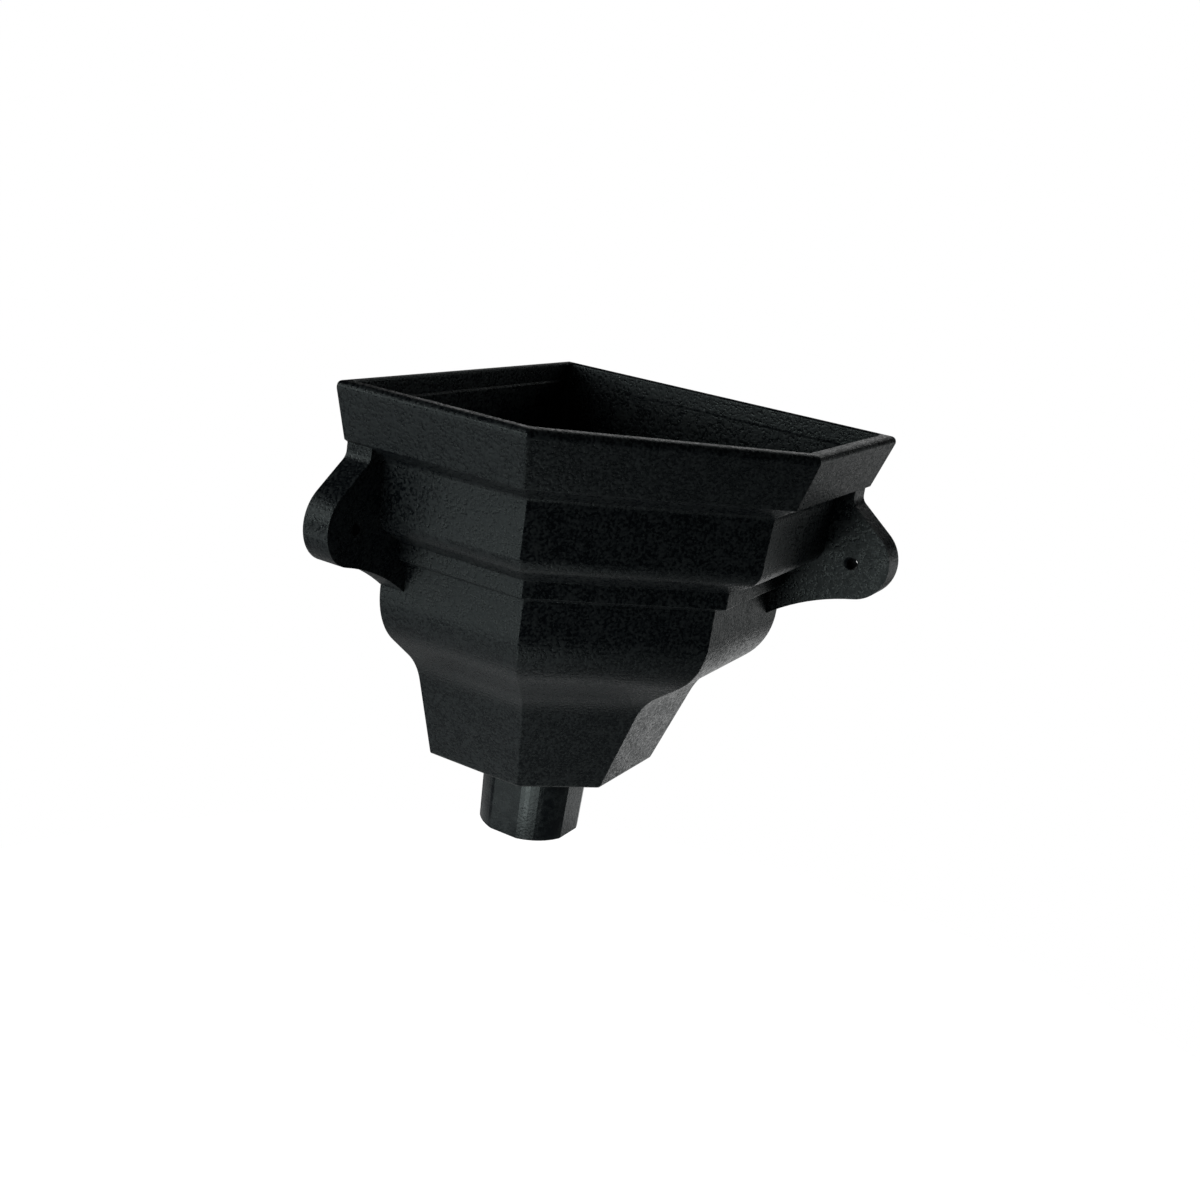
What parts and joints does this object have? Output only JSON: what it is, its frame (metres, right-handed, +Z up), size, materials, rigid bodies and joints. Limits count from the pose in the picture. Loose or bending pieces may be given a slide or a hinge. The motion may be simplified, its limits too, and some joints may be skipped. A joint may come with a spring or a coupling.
{
  "type": "downpipe hopper head",
  "caption": "Moulded rainwater hopper head for an inside wall corner, with an open stepped bowl, fixing lugs and an outlet spigot.",
  "frame": {"origin": "where the two walls meet, level with the two fixing screws", "axes": "+Z up; the left wall is the plane X = 0 and the right wall the plane Y = 0, so +Y points into the right wall and -X into the left wall; the hopper fills the quarter with X above 0 and Y below 0"},
  "size_m": [0.2357, 0.2357, 0.2882],
  "materials": {
    "black_plastic": "fine-grained matt black, as cast iron is imitated"
  },
  "bodies": {
    "root": {"hopper_head": "black_plastic"}
  },
  "joints": []
}
